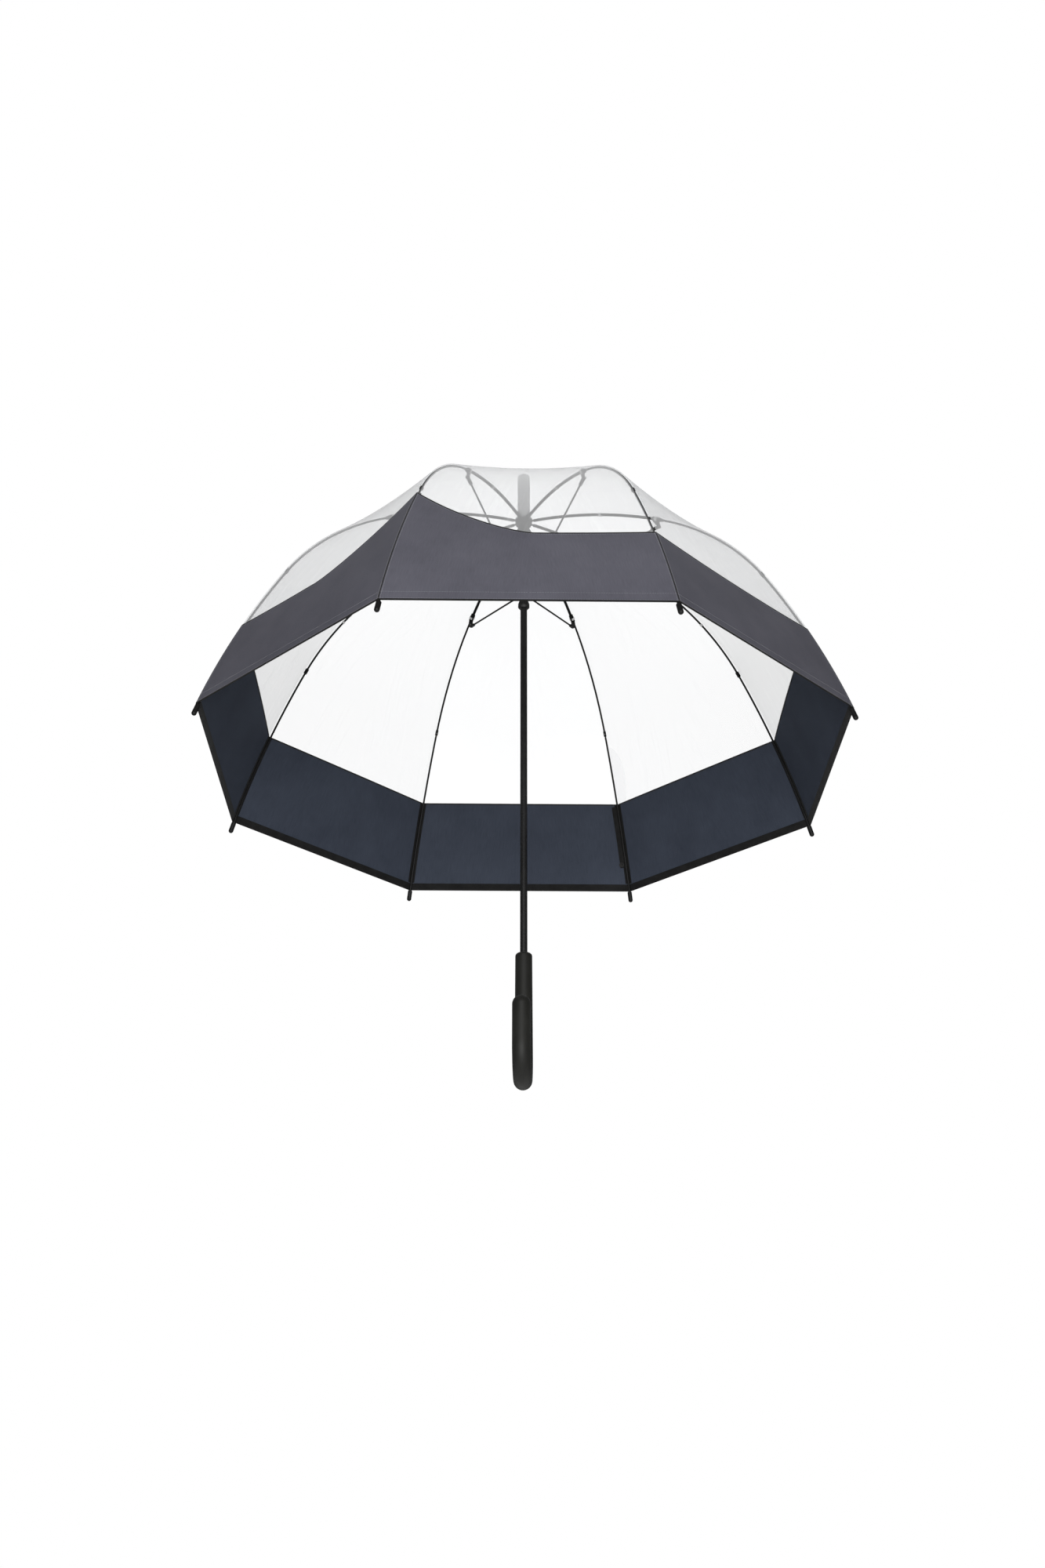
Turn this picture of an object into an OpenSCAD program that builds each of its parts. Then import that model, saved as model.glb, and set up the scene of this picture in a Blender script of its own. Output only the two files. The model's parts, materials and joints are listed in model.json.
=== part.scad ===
// Clear bubble umbrella, open, standing along its shaft.
// Millimetres. +Z runs up the shaft, and the origin is the middle of the grip.
// Each rib lies in a vertical plane through the shaft. A rib's own shapes are drawn
// in that plane with +X outwards and +Z up, and at_rib() turns them to their place.
// Slopes are in degrees below the horizontal, seen from the crown outwards.

/* [Canopy] */
// Height of the crown hinges above the middle of the grip
crown_z = 705; // [695:5:720]
// Distance of the hinge wires from the shaft's axis
hinge_r = 9.5; // [9.5:0.1:10]
// Thickness of the film and of the fabric
skin_t = 0.3; // [0.2:0.1:0.5]
// Distance from a rib's centre line out to the skin
skin_gap = 3; // [2.8:0.1:3.2]
// Distance along a rib from the crown hinge to the fabric band
band_start = 484; // [478:1:490]
// Distance along the peaked rib from the crown hinge to the fabric band
peak_start = 394; // [384:2:420]
// Number of the rib that carries the band's peak
peak_rib = 8; // [1:1:8]
// Width of the binding inside the hem
binding_w = 10; // [8:1:16]
// Width of the tape inside each seam of the band
tape_w = 10; // [8:1:14]

/* [Ribs] */
// Slope of a rib at the crown
crown_slope = 3; // [1:0.5:4]
// Slope of a rib at the end of its channel
channel_slope = 25.5; // [24:0.5:27]
// Slope at the knuckle between the two rods
knuckle_slope = 60; // [58:0.5:62]
// Slope at the hem
hem_slope = 72; // [70:0.5:74]
// Length of the steel channel
channel_l = 197; // [190:1:200]
// Length of the upper rod
upper_l = 182; // [176:1:184]
// Length of the lower rod down to the hem
lower_l = 236; // [230:1:240]
// Radius of the rods
rod_r = 1.35; // [1.2:0.05:1.4]
// Distance of the stretcher's pin below the rib
clip_drop = 10; // [9:0.5:11]
// Radius of a stretcher
stretcher_r = 1.2; // [1:0.1:1.3]

/* [Shaft] */
// Radius of the shaft
shaft_r = 4.5; // [4.4:0.1:4.5]
// Wall of the shaft
shaft_wall = 0.7; // [0.5:0.1:0.8]
// Radius of the spike on top
spike_r = 8.5; // [7.5:0.5:9]
// Height of the spike
spike_l = 74; // [60:1:80]

/* [Handle] */
// Height of the handle's top above the middle of the grip
grip_top = 65; // [60:1:70]
// Depth of the middle of the crook's bend below the middle of the grip
bend_depth = 70; // [60:1:80]
// Radius of the crook, to the middle of the tube
crook_r = 35; // [30:1:38]
// Radius of the handle's tube
grip_r = 11; // [10:0.5:12]
// Radius of the grip at its top
grip_top_r = 10.4; // [10:0.1:11]
// Length of the crook's free arm above the bend
arm_l = 45; // [30:1:50]
// Turn of the crook about the shaft
crook_turn = -3; // [-10:1:10]

/* [Hidden] */
rib_count = 8;
rib_step = 360 / rib_count;
half_step = rib_step / 2;

RIBS = [1:rib_count];
RIB_PARTS = ["rib_channel", "rib_rod_upper", "rib_rod_lower", "rib_tip", "stretcher"];

smooth = 48;        // facets of a round edge in a plain preview
eps = 0.01;         // a little extra length, so that cuts go right through
arc_step = 3;       // degrees of slope between two rings of the skin

// Hinges. A wire or pin runs in each eye with a small gap all round.
wire_r = 0.6;
hinge_gap = 0.05;
side_gap = 0.1;
eye_r = 2;
eye_t = 1.4;
slot_w = 2;

// Knuckle where a rib bends: an eye on a pin between two cheeks.
knuckle_pin_r = 0.5;
knuckle_eye_r = 1.7;
knuckle_eye_t = 1.2;
cheek_r = 1.9;
cheek_t = 0.7;
cheek_in = 0.8;     // from the rib's middle plane to the inside of a cheek
knuckle_reach = 2.6;
knuckle_block_l = 4;

// Clip and fork where a stretcher meets its rib.
clip_pin_r = 0.9;
lug_t = 1.6;
lug_r = 2.2;
fork_t = 1;
fork_in = lug_t / 2 + side_gap;
fork_base = 3.4;
fork_l = 12;
fork_h = 3;
rivet_r = 1.7;
rivet_t = 0.5;
clip_l = 12;
clip_w = 5;
clip_h = 4;

// Steel channel.
channel_w = 3.2;
channel_h = 2.6;
channel_wall = 0.5;

// Rib's outline, [distance from the axis, height], at the breaks in its curve.
function unit(slope) = [sin(slope), cos(slope)];
function arc_r(a, b, l) = l / ((b - a) * PI / 180);
function arc_centre(p, a, b, l) = p - arc_r(a, b, l) * unit(a);
function arc_end(p, a, b, l) = arc_centre(p, a, b, l) + arc_r(a, b, l) * unit(b);

crown_at = [hinge_r, crown_z];
channel_end = arc_end(crown_at, crown_slope, channel_slope, channel_l);
knuckle_at = arc_end(channel_end, channel_slope, knuckle_slope, upper_l);
hem_at = arc_end(knuckle_at, knuckle_slope, hem_slope, lower_l);

// Each stretch is [start point, start slope, end slope, length, distance from the crown].
STRETCHES = [
    [crown_at, crown_slope, channel_slope, channel_l, 0],
    [channel_end, channel_slope, knuckle_slope, upper_l, channel_l],
    [knuckle_at, knuckle_slope, hem_slope, lower_l, channel_l + upper_l]
];
rib_l = channel_l + upper_l + lower_l;

// Slope and place at a distance s along the rib, moved out from its centre line.
function stretch_of(s) = let(k = [for (st = STRETCHES) if (s <= st[4] + st[3] + eps) st]) k[0];
function slope_at(s) = let(st = stretch_of(s)) st[1] + (st[2] - st[1]) * (s - st[4]) / st[3];
function rib_at(s, out = 0) =
    let(st = stretch_of(s))
    arc_centre(st[0], st[1], st[2], st[3])
        + (arc_r(st[1], st[2], st[3]) + out) * unit(slope_at(s));

// The stretcher's pin hangs below the channel's end. The rib from the crown to the pin
// and the stretcher are equally long, so the runner's hinge is as far below the pin
// as the crown's hinge is above it.
pin_at = channel_end - clip_drop * unit(channel_slope);
link_x = pin_at[0] - hinge_r;
link_z = crown_z - pin_at[1];
link_l = norm([link_x, link_z]);
link_slope = atan2(link_z, link_x);
runner_z = crown_z - 2 * link_z;

// Folding turns the channel down by this angle, and the runner comes down with it.
fold_angle = 67.5;
closed_runner_z = crown_z - 2 * link_l * sin(link_slope + fold_angle);

// Crown and runner hubs.
hub_r = 11.5;
hub_slot_in = 7;
hub_up = 2.2;
hub_down = 3;
neck_r = 7;
flare_r = 10;
flare_top = 20;
flare_l = 14;
sleeve_r = 5.8;
sleeve_up = 12;
sleeve_down = 27;
collar_r = 7.7;
collar_l = 10;
running_gap = 0.1;
keyway_w = 2.4;
keyway_r = 7.1;

// Catches: a leaf inside the shaft with a wedge that stands out of a slot.
catch_w = 1.4;
catch_slot_w = 1.6;
catch_slot_l = 20;
wedge_l = 16;
wedge_out = 6.4;
leaf_in = 2.4;
leaf_out = 3.4;
leaf_l = 30;
catch_gap = 0.6;
top_catch_z = runner_z - sleeve_down - catch_gap;
bottom_catch_z = closed_runner_z + sleeve_up + catch_gap;
stop_pin_r = 1;
stop_pin_z = runner_z + sleeve_up + stop_pin_r + catch_gap;
stop_pin_l = 12.4;

// Skin at the crown.
skin_hole_r = 5.3;
rosette_r = 12;
rosette_t = 0.6;
rosette_z = crown_z + skin_gap + 0.6;
spike_z = rosette_z + rosette_t + 0.1;
spike_round = 2;
spike_bore_l = 18;
shaft_top = crown_z + 20;
socket_l = 40;

// Rib tips.
tip_r = 3.2;
tip_l = 16;
tip_start = 0.8;
tip_bore_l = 8;

// Band's upper edge on the two gores beside the peak: it falls away from the peak and
// runs level from sweep_end, a share of the gore's width, to the next rib.
sweep_end = 0.52;
sweep_power = 1.4;
sweep_steps = 12;

// Tape and binding lie between the ribs and the skin.
tape_out = 2.3;
tape_t = 0.4;

// Tie strap beside the lower rod of one rib. It leans with the gore it lies against.
strap_rib = 4;
strap_lean = 21;
strap_w = 9;
strap_t = 0.8;
strap_out = 1;
strap_side = 2;
strap_from = 108;
strap_to = 200;
snap_r = 3.6;
snap_t = 1.2;

FABRIC = "#5f5f68";
STEEL = "#1d1d1f";
PLASTIC = "#2a2a28";
CLEAR = [0.93, 0.95, 0.96, 0.35];

// Turns a rib's own plane to its place round the shaft. Rib 1 is right of the front.
module at_rib(i) rotate([0, 0, half_step + (i - 1) * rib_step - 90]) children();

// Moves to a point of the rib's plane, with +X along the given slope.
module at_point(p, slope) translate([p[0], 0, p[1]]) rotate([0, slope, 0]) children();

// A plate in the rib's plane, t thick and centred on it.
module plate(t) rotate([90, 0, 0]) linear_extrude(t, center = true) children();

// A round bar across the rib's plane.
module cross_bar(r, l) rotate([90, 0, 0]) cylinder(r = r, h = l, center = true, $fn = smooth);

// Sweeps a section along one stretch of the rib, without its first and last few millimetres.
// A skip below 0 makes it longer.
module along(st, skip_start = 0, skip_end = 0) {
    radius = arc_r(st[1], st[2], st[3]);
    centre = arc_centre(st[0], st[1], st[2], st[3]);
    from = st[1] + (st[2] - st[1]) * skip_start / st[3];
    to = st[2] - (st[2] - st[1]) * skip_end / st[3];
    translate([centre[0], 0, centre[1]])
        rotate([90, 0, 0])
            rotate([0, 0, 90 - to])
                rotate_extrude(angle = to - from, $fn = 4 * smooth)
                    translate([radius, 0]) children();
}

// Octagonal ring of wire through the eyes, one straight piece for each rib, with round corners.
module wire_ring(z) {
    side = 2 * hinge_r * tan(half_step);
    for (i = RIBS) at_rib(i) translate([hinge_r, 0, z]) {
        cross_bar(wire_r, side);
        translate([0, side / 2, 0]) sphere(r = wire_r, $fn = smooth);
    }
}

// Disc of a hub, with a slot for each eye and a square groove that holds the wire.
module slotted_disc(z) {
    groove = 2 * wire_r + side_gap;
    difference() {
        translate([0, 0, z - hub_down]) cylinder(r = hub_r, h = hub_up + hub_down, $fn = smooth);
        for (i = RIBS) at_rib(i) {
            translate([hub_slot_in, -slot_w / 2, z - hub_down - eps])
                cube([hub_r, slot_w, hub_up + hub_down + 2 * eps]);
            translate([hinge_r - groove / 2, -hub_r / 2, z - groove / 2])
                cube([groove, hub_r, hub_up + groove]);
        }
    }
}

// Pair of cheeks with a pin. The knuckle's centre is the origin, and the rib comes from -X.
module knuckle_fork() {
    difference() {
        translate([-knuckle_reach - knuckle_block_l, -cheek_in - cheek_t, -cheek_r])
            cube([knuckle_reach + knuckle_block_l, 2 * (cheek_in + cheek_t), 2 * cheek_r]);
        translate([-knuckle_reach, -cheek_in, -cheek_r - eps])
            cube([knuckle_reach + eps, 2 * cheek_in, 2 * (cheek_r + eps)]);
    }
    for (side = [-1, 1]) translate([0, side * (cheek_in + cheek_t / 2), 0]) cross_bar(cheek_r, cheek_t);
    cross_bar(knuckle_pin_r, 2 * (cheek_in + cheek_t));
}

// Eye that turns on the knuckle's pin. The rib goes on along +X.
module knuckle_eye() {
    difference() {
        union() {
            cross_bar(knuckle_eye_r, knuckle_eye_t);
            translate([0, -knuckle_eye_t / 2, -1]) cube([knuckle_reach + 1, knuckle_eye_t, 2]);
        }
        cross_bar(knuckle_pin_r + hinge_gap, 2 * knuckle_eye_t);
    }
}

// Flat eye on a hinge wire, with a short shank along +X.
module wire_eye(shank) {
    difference() {
        union() {
            cross_bar(eye_r, eye_t);
            translate([0, -eye_t / 2, -1]) cube([shank, eye_t, 2]);
        }
        cross_bar(wire_r + hinge_gap, 2 * eye_t);
    }
}

// U-shaped section of the steel channel, open towards the inside of the dome.
module channel_section() {
    difference() {
        square([channel_h, channel_w], center = true);
        translate([-channel_wall, 0])
            square([channel_h, channel_w - 2 * channel_wall], center = true);
    }
}

module rib_channel(i) color(STEEL) at_rib(i) {
    shank = 6;
    at_point(crown_at, crown_slope) wire_eye(shank);
    along(STRETCHES[0], shank - 1, knuckle_reach + 1) channel_section();
    at_point(channel_end, channel_slope) {
        translate([-clip_l - knuckle_reach, -clip_w / 2, -clip_h / 2])
            cube([clip_l, clip_w, clip_h]);
        knuckle_fork();
        plate(lug_t) polygon([
            [-clip_l - knuckle_reach, -clip_h / 2 + eps], [-knuckle_reach - 1, -clip_h / 2 + eps],
            [lug_r, -clip_drop], [-lug_r, -clip_drop - lug_r / 2]
        ]);
        translate([0, 0, -clip_drop]) {
            cross_bar(lug_r, lug_t);
            cross_bar(clip_pin_r, 2 * (fork_in + fork_t + side_gap));
            for (side = [-1, 1])
                translate([0, side * (fork_in + fork_t + side_gap + rivet_t / 2), 0])
                    cross_bar(rivet_r, rivet_t);
        }
    }
}

module rib_rod_upper(i) color(STEEL) at_rib(i) {
    at_point(channel_end, channel_slope) knuckle_eye();
    along(STRETCHES[1], knuckle_reach, knuckle_reach + knuckle_block_l - 1)
        circle(r = rod_r, $fn = smooth);
    at_point(knuckle_at, knuckle_slope) knuckle_fork();
}

module rib_rod_lower(i) color(STEEL) at_rib(i) {
    at_point(knuckle_at, knuckle_slope) knuckle_eye();
    along(STRETCHES[2], knuckle_reach, side_gap - tip_start - tip_bore_l)
        circle(r = rod_r, $fn = smooth);
}

module rib_tip(i) color(PLASTIC) at_rib(i)
    at_point(hem_at, hem_slope) translate([tip_start, 0, 0]) rotate([0, 90, 0])
        rotate_extrude($fn = smooth) difference() {
            union() {
                square([tip_r - 0.6, 1]);
                translate([0, 1]) square([tip_r, tip_l - tip_r - 1]);
                translate([0, tip_l - tip_r]) intersection() {
                    circle(r = tip_r, $fn = smooth);
                    square(tip_r);
                }
            }
            translate([0, -eps]) square([rod_r + hinge_gap, tip_bore_l]);
        }

// The stretcher runs from its eye on the runner's wire up to its fork on the rib's pin.
module stretcher(i) color(STEEL) at_rib(i) translate([hinge_r, 0, runner_z]) rotate([0, -link_slope, 0]) {
    shank = 5;
    wire_eye(shank);
    translate([shank - 1, 0, 0]) rotate([0, 90, 0])
        cylinder(r = stretcher_r, h = link_l - fork_l - shank + 2, $fn = smooth);
    difference() {
        translate([link_l - fork_l, -fork_in - fork_t, -fork_h / 2])
            cube([fork_l, 2 * (fork_in + fork_t), fork_h]);
        translate([link_l - fork_base, -fork_in, -fork_h]) cube([2 * fork_base, 2 * fork_in, 2 * fork_h]);
        translate([link_l, 0, 0]) cross_bar(clip_pin_r + hinge_gap, clip_w);
    }
    difference() {
        for (side = [-1, 1])
            translate([link_l, side * (fork_in + fork_t / 2), 0]) cross_bar(fork_h / 2, fork_t);
        translate([link_l, 0, 0]) cross_bar(clip_pin_r + hinge_gap, clip_w);
    }
}

module catch_slot(z) translate([-catch_slot_w / 2, 0, z]) cube([catch_slot_w, shaft_r + 1, catch_slot_l]);

module shaft_tube() color(STEEL) difference() {
    bottom = grip_top - socket_l;
    translate([0, 0, bottom]) cylinder(r = shaft_r, h = shaft_top - bottom, $fn = smooth);
    translate([0, 0, bottom - eps])
        cylinder(r = shaft_r - shaft_wall, h = shaft_top - bottom + 2 * eps, $fn = smooth);
    catch_slot(top_catch_z - (catch_slot_l + wedge_l) / 2);
    catch_slot(bottom_catch_z + (wedge_l - catch_slot_l) / 2);
    translate([0, 0, stop_pin_z]) rotate([0, 90, 0])
        cylinder(r = stop_pin_r + hinge_gap, h = 4 * shaft_r, center = true, $fn = smooth);
}

module stop_pin() color(STEEL) translate([0, 0, stop_pin_z]) rotate([0, 90, 0])
    cylinder(r = stop_pin_r, h = stop_pin_l, center = true, $fn = smooth);

// Leaf and wedge. The holding face is at the origin's height, and the wedge runs down from it.
module catch() rotate([90, 0, 90]) linear_extrude(catch_w, center = true) polygon([
    [leaf_in, -(wedge_l + leaf_l) / 2], [leaf_out, -(wedge_l + leaf_l) / 2], [leaf_out, -wedge_l],
    [wedge_out, -3], [wedge_out, 0], [leaf_out, 0],
    [leaf_out, (leaf_l - wedge_l) / 2], [leaf_in, (leaf_l - wedge_l) / 2]
]);

module top_catch() color("#8a8a8a") translate([0, 0, top_catch_z]) catch();

module bottom_catch() color("#8a8a8a") translate([0, 0, bottom_catch_z]) mirror([0, 0, 1]) catch();

module crown_notch() color(STEEL) difference() {
    union() {
        slotted_disc(crown_z);
        translate([0, 0, crown_z - hub_down - flare_top - flare_l])
            rotate_extrude($fn = smooth) polygon([
                [0, 0], [flare_r - 1, 0], [flare_r, 1.5], [flare_r, flare_l - 4], [neck_r, flare_l],
                [neck_r, flare_l + flare_top + hub_down], [0, flare_l + flare_top + hub_down]
            ]);
    }
    translate([0, 0, crown_z - hub_down - flare_top - flare_l - eps])
        cylinder(r = shaft_r + hinge_gap, h = 2 * (flare_top + flare_l), $fn = smooth);
}

module crown_wire() color("#b9b9bb") wire_ring(crown_z);

module spike_ferrule() color([0.72, 0.73, 0.74]) difference() {
    translate([0, 0, spike_z]) rotate_extrude($fn = smooth) {
        square([spike_r, spike_l - spike_round]);
        square([spike_r - spike_round, spike_l]);
        translate([spike_r - spike_round, spike_l - spike_round]) intersection() {
            circle(r = spike_round, $fn = smooth);
            square(spike_round);
        }
    }
    translate([0, 0, spike_z - eps]) cylinder(r = shaft_r + hinge_gap, h = spike_bore_l, $fn = smooth);
}

module canopy_rosette() color("#d8dadc") translate([0, 0, rosette_z]) difference() {
    cylinder(r = rosette_r, h = rosette_t, $fn = smooth);
    translate([0, 0, -eps]) cylinder(r = shaft_r + hinge_gap, h = 1, $fn = smooth);
}

// The runner's keyway passes both catches, so that it slides freely past them.
module runner() color(STEEL) difference() {
    union() {
        slotted_disc(runner_z);
        translate([0, 0, runner_z - sleeve_down]) rotate_extrude($fn = smooth) polygon([
            [0, 0], [collar_r - 2, 0], [collar_r, 2.5], [collar_r, collar_l - 3],
            [collar_r - 1.5, collar_l - 2], [collar_r - 1.5, collar_l - 1], [sleeve_r + 1, collar_l],
            [sleeve_r, collar_l + 1], [sleeve_r, sleeve_up + sleeve_down - 1],
            [sleeve_r - 0.8, sleeve_up + sleeve_down], [0, sleeve_up + sleeve_down]
        ]);
    }
    translate([0, 0, runner_z - sleeve_down - eps])
        cylinder(r = shaft_r + running_gap, h = sleeve_up + sleeve_down + 1, $fn = smooth);
    translate([-keyway_w / 2, 0, runner_z - sleeve_down - eps])
        cube([keyway_w, keyway_r, sleeve_up + sleeve_down + 1]);
}

module runner_wire() color("#b9b9bb") wire_ring(runner_z);

// Half section of the straight grip.
module grip_outline() {
    round_r = 3.5;
    polygon(concat(
        [[0, -bend_depth], [grip_r, -bend_depth]],
        [for (a = [0:15:90])
            [grip_top_r - round_r + round_r * cos(a), grip_top - round_r + round_r * sin(a)]],
        [[0, grip_top]]
    ));
}

module handle() color(PLASTIC) rotate([0, 0, crook_turn]) difference() {
    union() {
        rotate_extrude($fn = smooth) grip_outline();
        translate([0, -crook_r, -bend_depth])
            rotate([90, 0, 90]) rotate([0, 0, 180])
                rotate_extrude(angle = 180, $fn = 2 * smooth)
                    translate([crook_r, 0]) circle(r = grip_r, $fn = smooth);
        translate([0, -2 * crook_r, -bend_depth]) {
            cylinder(r = grip_r, h = arm_l, $fn = smooth);
            translate([0, 0, arm_l]) sphere(r = grip_r, $fn = smooth);
        }
    }
    translate([0, 0, grip_top - socket_l]) cylinder(r = shaft_r + hinge_gap, h = socket_l + 1, $fn = smooth);
}

// One octagonal layer over the ribs, from one distance along them to another. A layer
// that starts at the crown goes on inwards as a flat ring round the shaft.
module layer(from, to, out, thick) {
    steps = [for (st = STRETCHES) for (a = [st[1]:arc_step:st[2]])
        st[4] + st[3] * (a - st[1]) / (st[2] - st[1])];
    stops = concat([from], [for (s = steps) if (s > from + 1 && s < to - 1) s], [to]);
    outer = [for (s = stops) rib_at(s, out + thick / 2)];
    inner = [for (k = [len(stops) - 1:-1:0]) rib_at(stops[k], out - thick / 2)];
    hole = from == 0 ? [[skin_hole_r, inner[len(inner) - 1][1]], [skin_hole_r, outer[0][1]]] : [];
    rotate([0, 0, half_step]) rotate_extrude($fn = rib_count) polygon(concat(outer, inner, hole));
}

// Half width and height of a gore's edge at a distance s along the rib.
function gore_edge(s, out) = let(p = rib_at(s, out)) [p[0] * sin(half_step), p[1]];

// Band's swept edge at a share u of the gore's width from the peak.
function sweep_point(u) =
    let(rise = pow(max(0, 1 - u / sweep_end), sweep_power),
        edge = gore_edge(band_start + (peak_start - band_start) * rise, skin_gap))
    [edge[0] * (1 - 2 * u), edge[1]];

// Everything in a gore beside the peak that lies under the swept edge. It follows the peaked
// rib a little outside the skin.
module swept_region(side) {
    foot = gore_edge(rib_l, skin_gap)[0];
    at_rib(peak_rib) rotate([0, 0, side * half_step]) rotate([90, 0, 90])
        linear_extrude(2 * hem_at[0])
            polygon(concat(
                [for (k = [1:sweep_steps]) let(p = sweep_point(k / sweep_steps)) [-side * p[0], p[1]]],
                [[side * foot, hem_at[1]], [-side * foot, hem_at[1]]],
                [for (k = [0:sweep_steps])
                    let(p = gore_edge(band_start + (peak_start - band_start) * k / sweep_steps,
                                      skin_gap + skin_t))
                    [-side * p[0], p[1]]]
            ));
}

// Everything below the band's upper edge.
module band_region() {
    band_top_z = rib_at(band_start, skin_gap)[1];
    translate([0, 0, band_top_z - crown_z]) cylinder(r = crown_z, h = crown_z, $fn = rib_count);
    for (side = [-1, 1]) swept_region(side);
}

module canopy_clear() color(CLEAR) difference() {
    layer(0, rib_l, skin_gap, skin_t);
    band_region();
}

module canopy_band() color(FABRIC) intersection() {
    layer(peak_start - 2, rib_l, skin_gap, skin_t);
    band_region();
}

module hem_binding() color("#18181a") layer(rib_l - binding_w, rib_l, tape_out, tape_t);

module seam_tapes() color("#18181a") intersection() {
    layer(band_start, rib_l - binding_w - 1, tape_out, tape_t);
    for (i = RIBS) at_rib(i) translate([hem_at[0] / 2, -tape_w / 2, 0]) cube([hem_at[0], tape_w, crown_z]);
}

module tie_strap() color(FABRIC) at_rib(strap_rib)
    along(STRETCHES[2], strap_from, lower_l - strap_to)
        rotate(-strap_lean)
            translate([strap_out - strap_t / 2, -strap_side - strap_w]) square([strap_t, strap_w]);

module strap_snap() color("#9a9a9c") at_rib(strap_rib) {
    s = rib_l - lower_l + strap_to - strap_w / 2;
    at_point(rib_at(s), slope_at(s))
        rotate([-strap_lean, 0, 0])
            translate([0, strap_side + strap_w / 2, strap_out - strap_t / 2 - side_gap - snap_t])
                cylinder(r = snap_r, h = snap_t, $fn = smooth);
}

shaft_tube();
handle();
crown_notch();
crown_wire();
spike_ferrule();
canopy_rosette();
stop_pin();
top_catch();
bottom_catch();
runner();
runner_wire();
canopy_clear();
canopy_band();
hem_binding();
seam_tapes();
tie_strap();
strap_snap();
for (i = RIBS) {
    rib_channel(i);
    rib_rod_upper(i);
    rib_rod_lower(i);
    rib_tip(i);
    stretcher(i);
}
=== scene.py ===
"""Clear bubble umbrella: cloth, film, stitching, finishes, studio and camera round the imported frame.

Metres, in the row frame: +Z up the shaft, the origin in the middle of the grip, and the crook's
free arm towards -Y. A place on the canopy is a distance s along a rib from the crown's hinge, and
a share t of the way from that rib to a neighbour, below 0 towards the neighbour before it.
"""

import json
import math

import bpy
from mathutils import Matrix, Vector


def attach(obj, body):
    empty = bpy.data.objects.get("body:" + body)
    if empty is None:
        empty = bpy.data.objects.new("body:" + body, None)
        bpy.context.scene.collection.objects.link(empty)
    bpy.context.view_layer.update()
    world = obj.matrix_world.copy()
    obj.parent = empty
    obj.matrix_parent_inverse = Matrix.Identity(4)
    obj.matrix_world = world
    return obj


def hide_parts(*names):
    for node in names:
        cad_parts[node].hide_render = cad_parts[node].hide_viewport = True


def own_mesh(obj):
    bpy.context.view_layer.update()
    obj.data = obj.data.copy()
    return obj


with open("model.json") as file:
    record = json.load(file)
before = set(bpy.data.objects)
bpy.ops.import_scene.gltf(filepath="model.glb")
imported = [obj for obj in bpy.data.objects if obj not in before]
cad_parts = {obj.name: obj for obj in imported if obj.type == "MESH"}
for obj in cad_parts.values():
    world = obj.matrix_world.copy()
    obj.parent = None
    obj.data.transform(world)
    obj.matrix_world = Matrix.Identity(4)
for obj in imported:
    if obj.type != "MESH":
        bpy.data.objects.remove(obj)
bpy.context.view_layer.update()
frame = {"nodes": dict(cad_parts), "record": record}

# ---------------------------------------------------------------- the ribs' curve

RIBS = range(1, 9)
STEP = math.radians(45)

# The crown's hinge, and the slopes and lengths of a rib's three arcs: channel, upper and lower rod.
CROWN = (0.0095, 0.705)
SLOPES = [math.radians(a) for a in (3, 25.5, 60, 72)]
LENGTHS = (0.197, 0.182, 0.236)
CLIP_S = LENGTHS[0]
KNUCKLE_S = LENGTHS[0] + LENGTHS[1]
HEM_S = sum(LENGTHS)

# How far the canopy lies outside the ribs, and how far it sags in half way between two.
SKIN_OUT = 0.003
SAG = 0.006

# Where the band's upper edge lies, its peak, and how fast it sweeps down on both sides of that.
BAND_S = 0.484
PEAK_S = 0.394
PEAK_RIB = 8
SWEEP_END = 0.52
SWEEP_POWER = 1.4

# The rib that the tie strap hangs beside, and the strap's ends.
STRAP_RIB = 4
STRAP_TOP = KNUCKLE_S + 0.108
STRAP_END = KNUCKLE_S + 0.200


def arcs():
    """Each arc of a rib as (start point, start slope, end slope, length, distance at its start)."""
    made, (x, z), s = [], CROWN, 0.0
    for a, b, length in zip(SLOPES, SLOPES[1:], LENGTHS):
        made.append(((x, z), a, b, length, s))
        radius = length / (b - a)
        x += radius * (math.sin(b) - math.sin(a))
        z += radius * (math.cos(b) - math.cos(a))
        s += length
    return made


ARCS = arcs()


def rib_at(s, out=0.0):
    """Distance from the shaft's axis, height and slope at s along a rib, moved out from it."""
    (x, z), a, b, length, start = next((k for k in ARCS if s <= k[4] + k[3] + 1e-9), ARCS[-1])
    radius = length / (b - a)
    if s < 0:
        return x + s * math.cos(a) + out * math.sin(a), z - s * math.sin(a) + out * math.cos(a), a
    slope = a + (b - a) * (s - start) / length
    r = x + radius * (math.sin(slope) - math.sin(a)) + out * math.sin(slope)
    h = z + radius * (math.cos(slope) - math.cos(a)) + out * math.cos(slope)
    return r, h, slope


def azimuth(i):
    """Angle of rib i round the shaft, from -Y towards +X."""
    return STEP * (i - 0.5)


def outward(i):
    return Vector((math.sin(azimuth(i)), -math.cos(azimuth(i)), 0))


def sideways(i):
    return Vector((math.cos(azimuth(i)), math.sin(azimuth(i)), 0))


def sag_at(s):
    """How far the canopy sags in at s, half way between two ribs. It doesn't sag at either end."""
    return SAG * math.sin(math.pi * min(1, max(0, s / HEM_S))) ** 2


def skin(i, s, t, out=SKIN_OUT):
    """A point of the canopy."""
    r, h, slope = rib_at(s, out)
    q = abs(t)
    inset = 4 * q * (1 - q) * sag_at(s)
    r -= inset * math.sin(slope)
    h -= inset * math.cos(slope)
    x = r * (1 - q * (1 - math.cos(STEP)))
    y = r * math.sin(STEP) * t
    return outward(i) * x + sideways(i) * y + Vector((0, 0, h))


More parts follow.
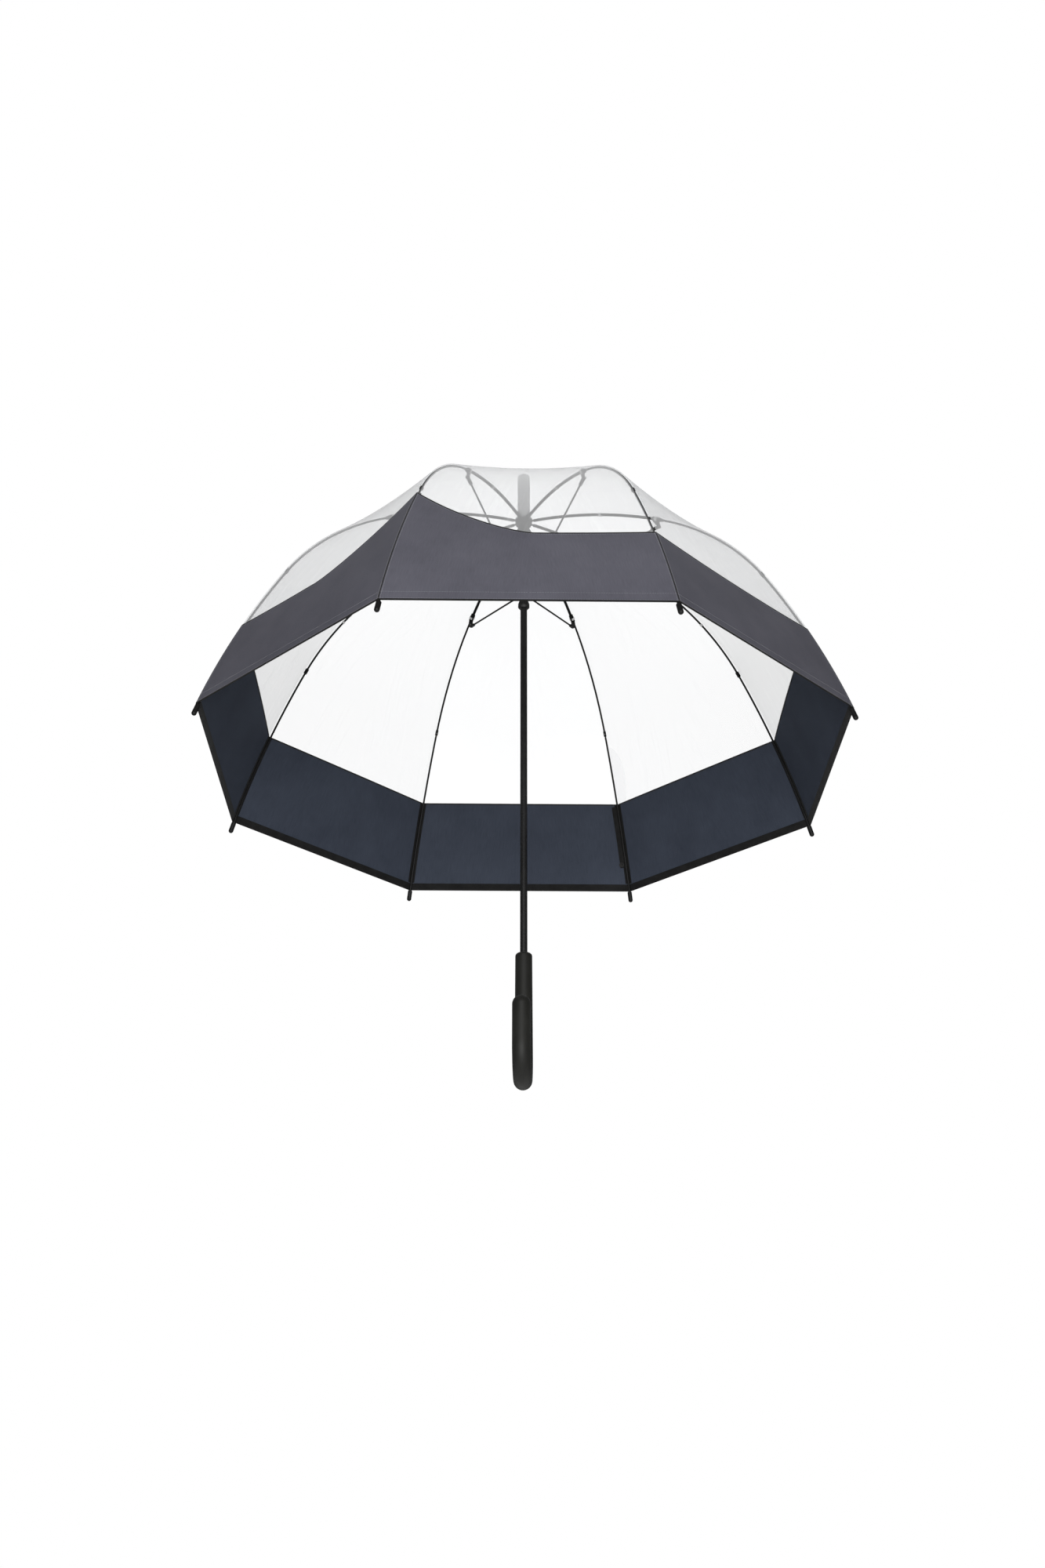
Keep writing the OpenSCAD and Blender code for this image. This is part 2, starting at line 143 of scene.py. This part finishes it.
def beside(i, s, offset, out):
    """A point inside the canopy, offset to one side of rib i, and level with the cloth there."""
    slope = rib_at(s)[2]
    lean = math.atan(math.tan(STEP / 2) * math.sin(slope))
    r, h, slope = rib_at(s, out * math.cos(lean) - abs(offset) * math.sin(lean))
    across = offset * math.cos(lean) + math.copysign(out * math.sin(lean), offset)
    return outward(i) * r + sideways(i) * across + Vector((0, 0, h))


def share_of(s, width):
    """The share t that lies this far beside a rib."""
    return width / (2 * rib_at(s, SKIN_OUT)[0] * math.sin(STEP / 2))


def band_top(i, t):
    """Distance along the rib of the band's upper edge, which sweeps up to the peaked rib."""
    apart = {PEAK_RIB: abs(t), PEAK_RIB - 1: 1 - t, 1: 1 + t}.get(i, 1)
    rise = max(0, 1 - apart / SWEEP_END) ** SWEEP_POWER
    return BAND_S + (PEAK_S - BAND_S) * rise


# ---------------------------------------------------------------- meshes


def make(name, vertices, faces, materials, uvs=None, smooth=True):
    """A mesh object. uvs gives one pair for each vertex."""
    mesh = bpy.data.meshes.new(name)
    mesh.from_pydata([tuple(v) for v in vertices], [], faces)
    if uvs:
        layer = mesh.uv_layers.new(name="flat")
        for loop in mesh.loops:
            layer.data[loop.index].uv = uvs[loop.vertex_index]
    mesh.polygons.foreach_set("use_smooth", [smooth] * len(mesh.polygons))
    for m in materials:
        mesh.materials.append(m)
    mesh.update()
    made = bpy.data.objects.new(name, mesh)
    bpy.context.scene.collection.objects.link(made)
    return made


def grid(name, place, rows, columns, materials, crease=None):
    """A sheet of rows by columns of faces. place(v, w) gives a point and its flat place, for v
    and w from 0 to 1. crease is the column of vertices where the sheet has a sharp fold. Its edges
    are sharp too, so that it is shaded in one with its neighbours."""
    vertices, uvs, faces = [], [], []
    for j in range(rows + 1):
        for k in range(columns + 1):
            point, flat = place(j / rows, k / columns)
            vertices.append(point)
            uvs.append(flat)
    for j in range(rows):
        for k in range(columns):
            a = j * (columns + 1) + k
            faces.append((a, a + columns + 1, a + columns + 2, a + 1))
    made = make(name, vertices, faces, materials, uvs)
    sharp = made.data.attributes.new("sharp_edge", "BOOLEAN", "EDGE")
    for e in made.data.edges:
        (row_a, column_a), (row_b, column_b) = (divmod(v, columns + 1) for v in e.vertices)
        lengthwise = column_a == column_b and column_a in (0, crease, columns)
        sharp.data[e.index].value = lengthwise or (row_a == row_b and row_a in (0, rows))
    return made


def thicken(piece, thickness, inner_slot=0):
    solid = piece.modifiers.new("thickness", "SOLIDIFY")
    solid.thickness = thickness
    solid.offset = 0
    solid.material_offset = inner_slot
    solid.material_offset_rim = 0
    return piece


# ---------------------------------------------------------------- materials


class Shader:
    """A material's node tree, with short ways to add and join nodes."""

    def __init__(self, name, **sockets):
        self.material = bpy.data.materials.new(name)
        self.material.use_nodes = True
        self.nodes = self.material.node_tree.nodes
        self.links = self.material.node_tree.links
        self.skin = self.nodes["Principled BSDF"]
        self.end = self.nodes["Material Output"]
        for socket, value in sockets.items():
            self.skin.inputs[socket.replace("_", " ")].default_value = value

    def add(self, kind, inputs=(), **settings):
        """A node. inputs are (socket, value or the output that feeds it)."""
        made = self.nodes.new("ShaderNode" + kind)
        for name, value in settings.items():
            setattr(made, name, value)
        for socket, value in inputs:
            if isinstance(value, bpy.types.NodeSocket):
                self.links.new(value, made.inputs[socket])
            else:
                made.inputs[socket].default_value = value
        return made

    def place(self, source="Object"):
        return self.add("TexCoord").outputs[source]

    def noise(self, scale, detail=2.0, source="Object", stretch=(1, 1, 1), rough=0.5):
        where = self.place(source)
        if stretch != (1, 1, 1):
            where = self.add("Mapping", [("Vector", where), ("Scale", stretch)]).outputs[0]
        return self.add(
            "TexNoise",
            [("Vector", where), ("Scale", scale), ("Detail", detail), ("Roughness", rough)],
        ).outputs["Fac"]

    def ramp(self, factor, *stops):
        """A colour or grey ramp; a stop is (place, value)."""
        made = self.add("ValToRGB", [("Fac", factor)])
        points = made.color_ramp.elements
        for k, (where, value) in enumerate(stops):
            point = points[k] if k < 2 else points.new(where)
            point.position = where
            point.color = (value, value, value, 1) if isinstance(value, float) else (*value, 1)
        return made.outputs["Color"]

    def math(self, operation, a, b):
        return self.add("Math", [(0, a), (1, b)], operation=operation).outputs[0]

    def bump(self, height, strength, distance, normal=None):
        inputs = [("Height", height), ("Strength", strength), ("Distance", distance)]
        if normal is not None:
            inputs.append(("Normal", normal))
        return self.add("Bump", inputs).outputs["Normal"]

    def feed(self, **outputs):
        for socket, output in outputs.items():
            self.links.new(output, self.skin.inputs[socket.replace("_", " ")])
        return self.material


def grey(value):
    return (value, value, value)


def woven(name, dark, light, thread, sheen, roughness=0.75):
    """Plain-woven cloth: crossed threads, uneven dye and soft creases."""
    m = Shader(name, Sheen_Weight=sheen, Sheen_Roughness=0.4, Specular_IOR_Level=0.08)
    flat = m.place("UV")
    across = m.add(
        "TexWave", [("Vector", flat), ("Scale", 0.314 / thread), ("Distortion", 0.3)]
    ).outputs["Fac"]
    along = m.add(
        "TexWave",
        [("Vector", flat), ("Scale", 0.314 / thread), ("Distortion", 0.3)],
        bands_direction="Y",
    ).outputs["Fac"]
    weave = m.math("MULTIPLY", across, along)
    dye = m.noise(14, 4, rough=0.6)
    slub = m.noise(900, 2, "UV", (1, 0.06, 1))
    shade = m.math("ADD", m.math("MULTIPLY", dye, 0.55), m.math("MULTIPLY", slub, 0.45))
    colour = m.ramp(shade, (0.3, dark), (0.7, light))
    threads = m.ramp(weave, (0.0, grey(0.82)), (0.6, grey(1.0)))
    mixed = m.add(
        "Mix", [("Factor", 1.0), (6, colour), (7, threads)], data_type="RGBA", blend_type="MULTIPLY"
    ).outputs[2]
    creases = m.noise(9, 3, stretch=(1, 1, 0.35))
    soft = m.bump(creases, 0.22, 0.006)
    normal = m.bump(weave, 0.35, 0.00012, soft)
    rough = m.ramp(slub, (0.3, roughness - 0.06), (0.7, roughness + 0.06))
    return m.feed(Base_Color=mixed, Roughness=rough, Normal=normal)


def tape(name, colour):
    """Ribbed tape with fine cross ribs."""
    m = Shader(name, Sheen_Weight=0.04, Sheen_Roughness=0.5, Specular_IOR_Level=0.1)
    ribs = m.add(
        "TexWave", [("Vector", m.place("UV")), ("Scale", 420.0)], bands_direction="Y"
    ).outputs["Fac"]
    tone = m.noise(60, 3)
    shade = m.ramp(tone, (0.3, grey(colour * 0.75)), (0.7, grey(colour * 1.3)))
    rough = m.ramp(ribs, (0.2, 0.7), (0.8, 0.85))
    return m.feed(Base_Color=shade, Roughness=rough, Normal=m.bump(ribs, 0.4, 0.0002))


def film(name, haze, graze):
    """Clear film: a little milky, more so where it is seen along its surface, with faint streaks.
    It is clearest in a narrow strip at u = 0, where it lies tight on a rib."""
    m = Shader(name, Base_Color=(0.97, 0.975, 0.98, 1), IOR=1.47)
    streaks = m.noise(70, 4, "UV", (1, 0.1, 1), rough=0.6)
    creases = m.noise(9, 4, rough=0.55)
    fine = m.noise(60, 3)
    rubbed = m.ramp(streaks, (0.5, 0.0), (0.7, 1.0))
    marks = m.math("MULTIPLY", rubbed, m.ramp(creases, (0.4, 0.1), (0.7, 1.0)))
    along = m.math("POWER", m.add("LayerWeight", [("Blend", 0.5)]).outputs["Facing"], 2.0)
    body = m.math("ADD", m.math("MULTIPLY", marks, 0.09), haze)
    aside = m.math("ABSOLUTE", m.add("SeparateXYZ", [(0, m.place("UV"))]).outputs["X"], 0.0)
    loose = m.ramp(m.math("MULTIPLY", aside, 100.0), (0.15, 0.12), (0.35, 1.0))
    alpha = m.math("MULTIPLY", loose, m.math("ADD", body, m.math("MULTIPLY", along, graze)))
    normal = m.bump(streaks, 0.12, 0.001, m.bump(creases, 0.2, 0.005))
    m.feed(Roughness=m.ramp(fine, (0.3, 0.1), (0.7, 0.22)), Normal=normal)
    behind = m.add("BsdfTranslucent", [("Color", (0.97, 0.975, 0.98, 1))])
    milky = m.add("MixShader", [(0, 0.5), (1, m.skin.outputs[0]), (2, behind.outputs[0])])
    clear = m.add("BsdfTransparent", [("Color", (0.955, 0.957, 0.96, 1))])
    mixed = m.add("MixShader", [(0, alpha), (1, clear.outputs[0]), (2, milky.outputs[0])])
    m.links.new(mixed.outputs[0], m.end.inputs["Surface"])
    return m.material


def lacquer(name, colour, roughness, gloss=0.5, grain=260):
    """Lacquered or moulded black: fine orange peel, dust-like wear and uneven gloss."""
    m = Shader(name, Specular_IOR_Level=gloss, Coat_Weight=0.16 * gloss, Coat_Roughness=0.25)
    tone = m.noise(35, 4)
    dust = m.noise(900, 2)
    lighter = tuple(c * 1.5 + 0.002 for c in colour)
    shade = m.ramp(tone, (0.35, colour), (0.75, lighter))
    rough = m.ramp(dust, (0.3, roughness - 0.06), (0.75, roughness + 0.1))
    return m.feed(
        Base_Color=shade, Roughness=rough, Normal=m.bump(m.noise(grain, 2), 0.05, 0.0003)
    )


def drawn_steel(name):
    """Bright drawn steel with lengthwise scratches."""
    m = Shader(name, Metallic=1.0)
    scratch = m.noise(700, 3, stretch=(1, 1, 0.08))
    shade = m.ramp(scratch, (0.3, grey(0.38)), (0.7, grey(0.55)))
    rough = m.ramp(scratch, (0.3, 0.22), (0.7, 0.4))
    return m.feed(Base_Color=shade, Roughness=rough, Normal=m.bump(scratch, 0.2, 0.0002))


def soft_touch(name):
    """Matt rubbery coating with a fine sand grain and faint rub marks."""
    m = Shader(name, Specular_IOR_Level=0.22, Sheen_Weight=0.03, Sheen_Roughness=0.5)
    rub = m.noise(22, 5, rough=0.6)
    sand = m.noise(1900, 2)
    shade = m.ramp(rub, (0.3, (0.008, 0.008, 0.007)), (0.75, (0.014, 0.014, 0.012)))
    rough = m.ramp(rub, (0.3, 0.5), (0.75, 0.62))
    return m.feed(Base_Color=shade, Roughness=rough, Normal=m.bump(sand, 0.25, 0.0002))


# The band is one navy cloth. The inside colour is its own navy. The outside colour is that navy
# lightened and greyed with painted sheen.
OUTSIDE = woven("band_cloth_outside", (0.073, 0.072, 0.089), (0.106, 0.105, 0.127), 0.0005, 0.02)
INSIDE = woven("band_cloth_inside", (0.031, 0.037, 0.052), (0.047, 0.056, 0.077), 0.0005, 0.0)
TAPE = tape("black_tape", 0.008)
EDGE = tape("band_edge_tape", 0.016)
FILM = film("clear_film", 0.14, 0.58)
WELD = film("clear_film_weld", 0.08, 0.15)
THREAD = woven("sewing_thread", (0.13, 0.13, 0.15), (0.2, 0.2, 0.22), 0.0002, 0.3)
TIE = woven("tie_thread", (0.5, 0.5, 0.5), (0.75, 0.75, 0.74), 0.0002, 0.3)
FINISHES = {
    "shaft_black": lacquer("shaft_lacquer", (0.007, 0.007, 0.007), 0.3),
    "rib_black": lacquer("rib_lacquer", (0.004, 0.004, 0.004), 0.45, gloss=0.15),
    "tip_plastic": lacquer("tip_plastic", (0.005, 0.005, 0.005), 0.5, gloss=0.15),
    "ferrule_plastic": lacquer("ferrule_plastic", (0.012, 0.012, 0.012), 0.35),
    "handle_soft_touch": soft_touch("soft_touch"),
    "wire_steel": drawn_steel("drawn_steel"),
}

for row in frame["record"]["subparts"]:
    if row["material_slot"] in FINISHES:
        materials = frame["nodes"][row["node"]].data.materials
        materials.clear()
        materials.append(FINISHES[row["material_slot"]])

# ---------------------------------------------------------------- canopy


def settle(piece, i, body, slot, *nodes):
    """Puts a piece of rib i's canopy on its length of the rib."""
    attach(piece, body)
    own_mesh(piece)
    if nodes:
        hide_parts(*nodes)
    return piece


def half_gore(s):
    return 0.5


def panel(name, i, start, end, out, rows, columns, materials, reach=half_gore):
    """A sheet over rib i from start(t) to end(t). At s it reaches from t = -reach(s) to reach(s)."""

    def place(v, w):
        across = w - 0.5
        s = start(across) + (end(across) - start(across)) * v
        t = 2 * across * reach(s)
        width = 2 * rib_at(s, out)[0] * math.sin(STEP / 2)
        return skin(i, s, t, out), (t * width, s)

    return grid(name, place, rows, columns, materials, crease=columns // 2)


def fixed(s):
    return lambda t: s


RIB_BODIES = ("rib_{}", "rib_{}_upper", "rib_{}_lower")
CLOTH_T = 0.0003
BINDING_W = 0.010

# Half the width of the seam tape, of the seam's cord and of the film's weld.
TAPE_HALF = 0.005
SEAM_HALF = 0.0008
WELD_HALF = 0.002

# How far the film reaches in past the crown's hinges, how far its other end goes under the band's
# edge, and the distance along the rib inside which the weld narrows with the gore.
ROSETTE_REACH = 0.004
FILM_TUCK = 0.0005
WELD_FROM = 0.004


def film_panels(i):
    """The clear film over rib i, in one piece for each stiff length of the rib, with its seam."""
    under_edge = lambda t: band_top(i, t) + FILM_TUCK
    spans = [
        (fixed(-ROSETTE_REACH), fixed(CLIP_S), 44),
        (fixed(CLIP_S), fixed(KNUCKLE_S), 36),
        (fixed(KNUCKLE_S), under_edge, 26),
    ]
    for k, (start, end, rows) in enumerate(spans):
        body = RIB_BODIES[k].format(i)
        piece = panel(f"film_{i}_{k + 1}", i, start, end, SKIN_OUT, rows, 48, [FILM])
        longest = max(end(t) for t in (-0.5, 0, 0.5))
        longest - start(0)
        settle(piece, i, body, "clear_film", "canopy_clear")
        weld = panel(
            f"film_weld_{i}_{k + 1}", i, start, fixed(min(longest, band_top(i, 0))),
            SKIN_OUT + 0.0003, rows, 4, [WELD],
            reach=lambda s: share_of(max(s, WELD_FROM), WELD_HALF),
        )
        settle(weld, i, body, "clear_film")


def band_panels(i):
    """The cloth band over rib i's lower rod, with its edge, binding, tape, seam and stitches."""
    body = RIB_BODIES[2].format(i)
    top = lambda t: band_top(i, t)
    band = panel(f"band_{i}", i, top, fixed(HEM_S), SKIN_OUT, 36, 48, [OUTSIDE, INSIDE])
    edge = panel(
        f"band_edge_{i}", i, lambda t: top(t) - 0.0004, lambda t: top(t) + 0.0016,
        SKIN_OUT, 2, 48, [EDGE],
    )
    binding = panel(
        f"hem_binding_{i}", i, fixed(HEM_S - BINDING_W), fixed(HEM_S + 0.0006),
        SKIN_OUT - 0.0005, 6, 48, [TAPE],
    )
    hem_edge = panel(
        f"hem_edge_{i}", i, fixed(HEM_S - 0.0012), fixed(HEM_S + 0.0005), SKIN_OUT, 2, 48, [TAPE]
    )
    tape_under = panel(
        f"seam_tape_{i}", i, fixed(top(0)), fixed(HEM_S - BINDING_W - 0.001),
        SKIN_OUT - 0.0005, 36, 4, [TAPE], reach=lambda s: share_of(s, TAPE_HALF),
    )
    seam = panel(
        f"band_seam_{i}", i, fixed(top(0)), fixed(HEM_S),
        SKIN_OUT + 0.0003, 36, 2, [EDGE], reach=lambda s: share_of(s, SEAM_HALF),
    )
    thread = stitches(i)
    settle(thicken(band, CLOTH_T, inner_slot=1), i, body, "band_fabric", "canopy_band")
    settle(thicken(edge, 0.0009), i, body, "band_fabric")
    settle(thicken(hem_edge, 0.0011), i, body, "binding_tape")
    settle(thicken(binding, CLOTH_T), i, body, "binding_tape", "hem_binding")
    settle(thicken(tape_under, CLOTH_T), i, body, "binding_tape", "seam_tapes")
    settle(thicken(seam, CLOTH_T), i, body, "band_fabric")
    settle(thread, i, body, "band_fabric")


def walk(line, pitch):
    """Points at an even pitch along a line of points."""
    found, spare = [], pitch / 2
    for a, b in zip(line, line[1:]):
        gap = (b - a).length
        while spare < gap:
            found.append((a.lerp(b, spare / gap), (b - a).normalized()))
            spare += pitch
        spare -= gap
    return found


def stitches(i):
    """Rows of stitches outside: two round the hem, one along the band's top, two down its seam."""
    pitch, length, radius = 0.0028, 0.0021, 0.0003
    out = SKIN_OUT + CLOTH_T / 2 + 0.0001
    turns = [k / 24 - 0.5 for k in range(25)]
    lines = [[skin(i, HEM_S - gap, t, out) for t in turns] for gap in (0.0025, 0.0135)]
    lines.append([skin(i, band_top(i, t) + 0.003, t, out) for t in turns])
    downs = [band_top(i, 0) + (HEM_S - band_top(i, 0)) * k / 40 for k in range(41)]
    for side in (-1, 1):
        lines.append([skin(i, s, side * share_of(s, 0.002), out) for s in downs])
    vertices, faces = [], []
    for line in lines:
        for centre, along in walk(line, pitch):
            side = along.cross(centre).normalized()
            up = side.cross(along)
            base = len(vertices)
            for end, size in ((-0.5, 0.4), (-0.25, 1), (0.25, 1), (0.5, 0.4)):
                for k in range(5):
                    turn = math.tau * k / 5
                    spread = (side * math.cos(turn) + up * math.sin(turn)) * radius * size
                    vertices.append(centre + along * length * end + spread)
            for ring in range(3):
                for k in range(5):
                    a = base + 5 * ring + k
                    b = base + 5 * ring + (k + 1) % 5
                    faces.append((a, b, b + 5, a + 5))
            faces.append(tuple(base + k for k in range(4, -1, -1)))
            faces.append(tuple(base + 15 + k for k in range(5)))
    return make(f"band_stitches_{i}", vertices, faces, [THREAD], [(v.x, v.z) for v in vertices])


for rib in RIBS:
    film_panels(rib)
    band_panels(rib)


# ---------------------------------------------------------------- tie strap


def tie_strap():
    """Flat strap that hangs beside one rib, level with the band."""

    def place(v, w):
        s = STRAP_TOP + (STRAP_END - STRAP_TOP) * v
        offset = 0.0022 + 0.0064 * w
        return beside(STRAP_RIB, s, offset, 0.001 + 0.0002 * math.sin(90 * s)), (offset, s)

    strap = grid("tie_strap_cloth", place, 60, 8, [TAPE])
    thicken(strap, 0.0008)
    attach(strap, RIB_BODIES[2].format(STRAP_RIB))
    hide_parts("tie_strap")


def snap_cap():
    """Domed cap of the strap's press stud, with a raised rim."""
    s, offset, out, nudge = STRAP_END - 0.0045, 0.0065, -0.0001, 0.001
    centre = beside(STRAP_RIB, s, offset, out)
    aside = (beside(STRAP_RIB, s, offset + nudge, out) - centre).normalized()
    down = (beside(STRAP_RIB, s + nudge, offset, out) - centre).normalized()
    inwards = aside.cross(down).normalized()
    if inwards.dot(centre - Vector((0, 0, centre.z))) > 0:
        inwards = -inwards
    dome = [(0.0, 0.0011), (0.0012, 0.00105), (0.0021, 0.0008), (0.0026, 0.00045)]
    rim = [(0.003, 0.0006), (0.0034, 0.00055), (0.0036, 0.0003), (0.0036, -0.0002), (0.0, -0.0002)]
    outline = dome + rim
    sides, vertices, faces = 40, [], []
    for radius, height in outline:
        for k in range(sides):
            turn = math.tau * k / sides
            spoke = aside * math.cos(turn) + down * math.sin(turn)
            vertices.append(centre + spoke * max(radius, 1e-5) + inwards * height)
    for ring in range(len(outline) - 1):
        for k in range(sides):
            a, b = ring * sides + k, ring * sides + (k + 1) % sides
            faces.append((a, b, b + sides, a + sides))
    faces.append(tuple(range(sides)))
    faces.append(tuple((len(outline) - 1) * sides + k for k in range(sides)))
    cap = make("strap_snap_cap", vertices, faces, [FINISHES["tip_plastic"]])
    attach(cap, RIB_BODIES[2].format(STRAP_RIB))
    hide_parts("strap_snap")


def seam_flap():
    """Loose rounded flap of film inside the seam above the strap, on its other side."""
    start, end = 0.397, BAND_S - 0.001

    def place(v, w):
        s = start + (end - start) * v
        offset = 0.002 * v + 0.0205 * math.sin(0.78 * math.pi * v**0.6) * w
        return beside(STRAP_RIB, s, -offset - 0.0004, 0.0019), (offset, s)

    flap = grid("film_seam_flap", place, 40, 8, [WELD])
    settle(flap, STRAP_RIB, RIB_BODIES[2].format(STRAP_RIB), "clear_film")


tie_strap()
snap_cap()
seam_flap()


# ---------------------------------------------------------------- thread ties on the ribs


def coil(name, centre, axis, radius, thick, turns, length, material):
    """A wound thread: a helix of a thin tube round axis, closed at both ends."""
    axis = axis.normalized()
    side = axis.orthogonal().normalized()
    up = axis.cross(side)
    steps, sides = 16 * turns, 8
    vertices, faces = [], []
    for n in range(steps + 1):
        turn = math.tau * turns * n / steps
        spoke = side * math.cos(turn) + up * math.sin(turn)
        middle = centre + axis * length * (n / steps - 0.5) + spoke * radius
        for k in range(sides):
            a = math.tau * k / sides
            vertices.append(middle + (spoke * math.cos(a) + axis * math.sin(a)) * thick)
    for n in range(steps):
        for k in range(sides):
            a, b = n * sides + k, n * sides + (k + 1) % sides
            faces.append((a, b, b + sides, a + sides))
    faces.append(tuple(range(sides)))
    faces.append(tuple(steps * sides + k for k in range(sides - 1, -1, -1)))
    return make(name, vertices, faces, [material], [(v.x, v.z) for v in vertices])


# The ribs whose upper rod has a tie as well.
TIED_RODS = (3, 6)


def rib_ties(i):
    """Thread ties round the rib: on its channel, by its clip and, on two ribs, on the upper rod."""
    spots = [("a", 0.104, 0, 0.0024), ("b", CLIP_S - 0.0086, 0, 0.0036)]
    if i in TIED_RODS:
        spots.append(("c", 0.288, 1, 0.0018))
    for letter, s, part, radius in spots:
        r, h, slope = rib_at(s)
        along = outward(i) * math.cos(slope) + Vector((0, 0, -math.sin(slope)))
        centre = outward(i) * r + Vector((0, 0, h))
        tie = coil(f"rib_tie_{i}_{letter}", centre, along, radius, 0.0003, 5, 0.0034, TIE)
        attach(tie, RIB_BODIES[part].format(i))


for rib in RIBS:
    rib_ties(rib)

# ---------------------------------------------------------------- studio


def pale_floor():
    """Pale matt floor. For the camera alone it glows too, so it stays pale far from the lights."""
    m = Shader("pale_floor", Roughness=0.9, Base_Color=(0.86, 0.86, 0.86, 1))
    glow = m.add("Emission", [("Color", (1, 1, 1, 1)), ("Strength", 0.98)])
    seen = m.math("MULTIPLY", m.add("LightPath").outputs["Is Camera Ray"], 0.8)
    mixed = m.add("MixShader", [(0, seen), (1, m.skin.outputs[0]), (2, glow.outputs[0])])
    m.links.new(mixed.outputs[0], m.end.inputs["Surface"])
    return m.material


def light(name, place, target, size, power, gloss=True):
    """A soft rectangular light. Without gloss it adds no highlights."""
    lamp = bpy.data.lights.new(name, "AREA")
    lamp.shape = "RECTANGLE"
    lamp.size, lamp.size_y = size
    lamp.energy = power
    made = bpy.data.objects.new(name, lamp)
    made.location = place
    made.visible_glossy = gloss
    made.rotation_euler = (Vector(target) - Vector(place)).to_track_quat("-Z", "Y").to_euler()
    bpy.context.scene.collection.objects.link(made)


def studio():
    """A pale floor well below, three soft lights, and a background that is white for the camera
    alone and gives the object little light."""
    world = bpy.data.worlds.new("studio")
    bpy.context.scene.world = world
    world.use_nodes = True
    nodes, links = world.node_tree.nodes, world.node_tree.links
    seen = nodes["Background"]
    seen.inputs["Color"].default_value = (1, 1, 1, 1)
    seen.inputs["Strength"].default_value = 1.0
    lit = nodes.new("ShaderNodeBackground")
    lit.inputs["Color"].default_value = (0.95, 0.97, 1, 1)
    lit.inputs["Strength"].default_value = 0.05
    mixed = nodes.new("ShaderNodeMixShader")
    path = nodes.new("ShaderNodeLightPath")
    links.new(path.outputs["Is Camera Ray"], mixed.inputs[0])
    links.new(lit.outputs[0], mixed.inputs[1])
    links.new(seen.outputs[0], mixed.inputs[2])
    links.new(mixed.outputs[0], nodes["World Output"].inputs["Surface"])

    reach, height = 40.0, -1.2
    corners = [(x * reach, y * reach, height) for x, y in ((-1, -1), (1, -1), (1, 1), (-1, 1))]
    floor = make("floor", corners, [(0, 1, 2, 3)], [pale_floor()], smooth=False)

    light("front_soft", (0, -3.0, -0.3), (0, 0, 0.45), (1.6, 1.6), 104)
    light("top_soft", (0, 0.4, 3.0), (0, 0, 0.5), (3.0, 3.0), 84, gloss=False)
    light("back_soft", (0, 3.4, 1.2), (0, 0, 0.45), (3.0, 2.0), 115, gloss=False)


def camera():
    """The camera stands in front, lower than the handle, and looks up by tilt."""
    data = bpy.data.cameras.new("camera")
    data.sensor_width = 36
    data.lens = 40.32
    data.shift_x = -0.0008
    data.clip_end = 100
    made = bpy.data.objects.new("camera", data)
    turn, tilt, distance, height = math.radians(-0.82), 26.89, 2.0115, -0.722
    made.location = (distance * math.sin(turn), -distance * math.cos(turn), height)
    made.rotation_euler = (math.radians(90 + tilt), 0, turn)
    bpy.context.scene.collection.objects.link(made)
    bpy.context.scene.camera = made


studio()
camera()
bpy.context.scene.view_settings.view_transform = "Standard"
